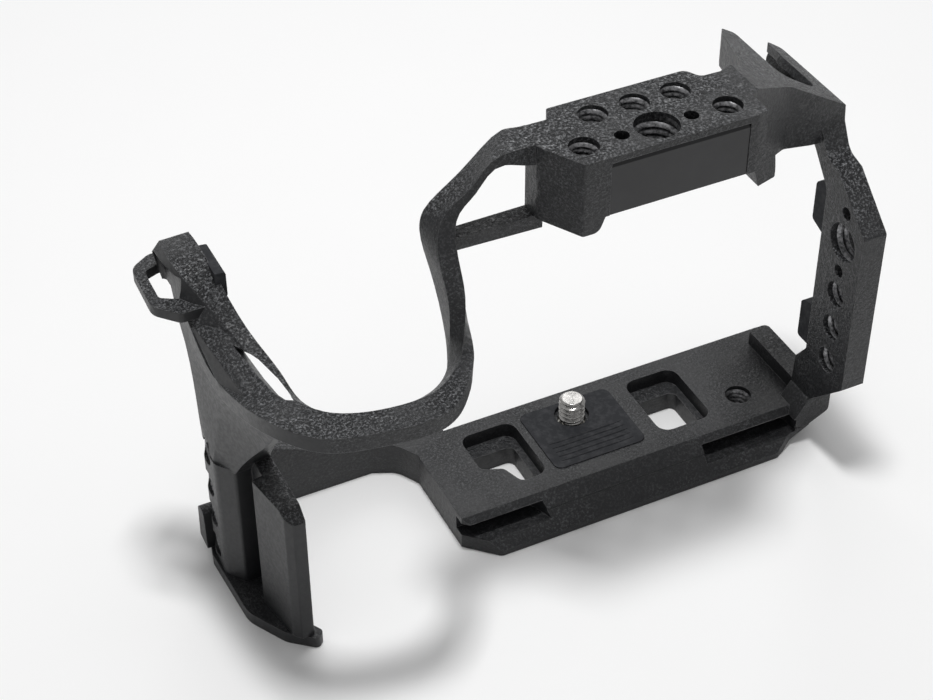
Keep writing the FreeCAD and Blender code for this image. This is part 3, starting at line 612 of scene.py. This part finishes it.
# %% [markdown]
# ## Floor, light and camera
# The cage stands on a white matt table under a small soft lamp almost straight above it, so the
# shadow of the grip band falls nearly straight below the band. A second, wider lamp behind the
# cage glances off the textured tops, which makes their grain sparkle. Near the cage the table is
# white by its own colour. Further out the lamps fade, so there it glows white for the camera
# alone, which adds no light to the cage.

# %% Set the table and the light
bpy.context.scene.view_settings.view_transform = "Standard"
ROOM_LIGHT = 0.38
FLOOR_FADE_FROM = 0.16
FLOOR_FADE_TO = 0.6
TABLE_RADIUS = 4.0
TABLE_SEGMENTS = 96
TABLE_GAP = 0.02 * MM
TABLE_WHITES = ((0.93, 0.93, 0.93), (0.95, 0.95, 0.95))
FAR_TABLE_WHITE = (0.93, 0.93, 0.935, 1.0)


def white_floor():
    """Large round table top at the foot of the cage."""
    bm = bmesh.new()
    bmesh.ops.create_circle(bm, cap_ends=True, segments=TABLE_SEGMENTS, radius=TABLE_RADIUS)
    mesh = bpy.data.meshes.new("table_top")
    bm.to_mesh(mesh)
    bm.free()
    table = bpy.data.objects.new("table_top", mesh)
    table.location.z = cad_box[0][2] - TABLE_GAP
    bpy.context.scene.collection.objects.link(table)
    material, tree, shader = start_material("white_table", 0.9, specular=0.1)
    paint(tree, shader, grain(tree, 60.0), *TABLE_WHITES)
    place = tree.nodes.new("ShaderNodeTexCoord")
    reach = tree.nodes.new("ShaderNodeVectorMath")
    reach.operation = "LENGTH"
    tree.links.new(place.outputs["Object"], reach.inputs[0])
    path = tree.nodes.new("ShaderNodeLightPath")
    far = spread(tree, reach.outputs["Value"], FLOOR_FADE_FROM, FLOOR_FADE_TO)
    glow = tree.nodes.new("ShaderNodeEmission")
    glow.inputs["Color"].default_value = FAR_TABLE_WHITE
    fade = tree.nodes.new("ShaderNodeMixShader")
    tree.links.new(combine(tree, "MULTIPLY", far, path.outputs["Is Camera Ray"]), fade.inputs[0])
    tree.links.new(shader.outputs[0], fade.inputs[1])
    tree.links.new(glow.outputs[0], fade.inputs[2])
    tree.links.new(fade.outputs[0], tree.nodes["Material Output"].inputs["Surface"])
    mesh.materials.append(material)
    return table


def soft_light(name, place, aim, width, depth, watts):
    """Rectangular lamp turned towards a point."""
    lamp = bpy.data.lights.new(name, "AREA")
    lamp.shape = "RECTANGLE"
    lamp.size = width
    lamp.size_y = depth
    lamp.energy = watts
    holder = bpy.data.objects.new(name, lamp)
    holder.location = place
    holder.rotation_euler = (Vector(aim) - Vector(place)).to_track_quat("-Z", "Y").to_euler()
    bpy.context.scene.collection.objects.link(holder)


def pale_room():
    """World that lights softly and shows white behind the table."""
    world = bpy.data.worlds.new("pale_room")
    bpy.context.scene.world = world
    world.use_nodes = True
    tree = world.node_tree
    background = tree.nodes["Background"]
    background.inputs["Color"].default_value = (1.0, 1.0, 1.0, 1.0)
    path = tree.nodes.new("ShaderNodeLightPath")
    tree.links.new(spread(tree, path.outputs["Is Camera Ray"], 0.0, 1.0, ROOM_LIGHT, 1.0),
                   background.inputs["Strength"])


floor = white_floor()
pale_room()
soft_light("overhead", place=(-0.02, 0.02, 0.8), aim=(0.0, 0.0, 0.03),
           width=0.11, depth=0.11, watts=3.6)
soft_light("back_window", place=(0.35, 1.0, 0.75), aim=(0.0, 0.0, 0.04),
           width=0.9, depth=0.5, watts=3.2)
print("floor at", round(floor.location.z / MM, 2), "mm")

# %% [markdown]
# ## The viewpoint
# The photograph was taken from the front, on the grip side and from well above. The position and
# the three directions below were worked out from the spacing of the holes, which is
# standard on such a cage.

# %% Place the camera
VIEW_FROM = Vector((-179.5, -316.8, 329.0)) * MM
VIEW_RIGHT = Vector((0.8998, -0.4362, -0.0057))
VIEW_DOWN = Vector((-0.2862, -0.5804, -0.7624))
VIEW_AHEAD = Vector((0.3292, 0.6877, -0.6471))
LENS = 78.72
SENSOR_WIDTH = 36.0
NEAREST_SEEN = 0.01


def place_camera():
    """The scene's camera, at the photograph's viewpoint."""
    camera = bpy.data.cameras.new("photo_view")
    camera.sensor_width = SENSOR_WIDTH
    camera.lens = LENS
    camera.clip_start = NEAREST_SEEN
    holder = bpy.data.objects.new("photo_view", camera)
    turn = Matrix((VIEW_RIGHT, -VIEW_DOWN, -VIEW_AHEAD)).transposed().to_4x4()
    holder.matrix_world = Matrix.Translation(VIEW_FROM) @ turn
    bpy.context.scene.collection.objects.link(holder)
    bpy.context.scene.camera = holder
    return holder


viewpoint = place_camera()
print("camera at", [round(v / MM, 1) for v in viewpoint.location], "mm")

# %% [markdown]
# ## The size of the solids
# The threads and ribs must not make the part any larger. The box that the solids had when they
# were loaded is printed here.

# %% Print the CAD box
print("CAD box", cad_box)
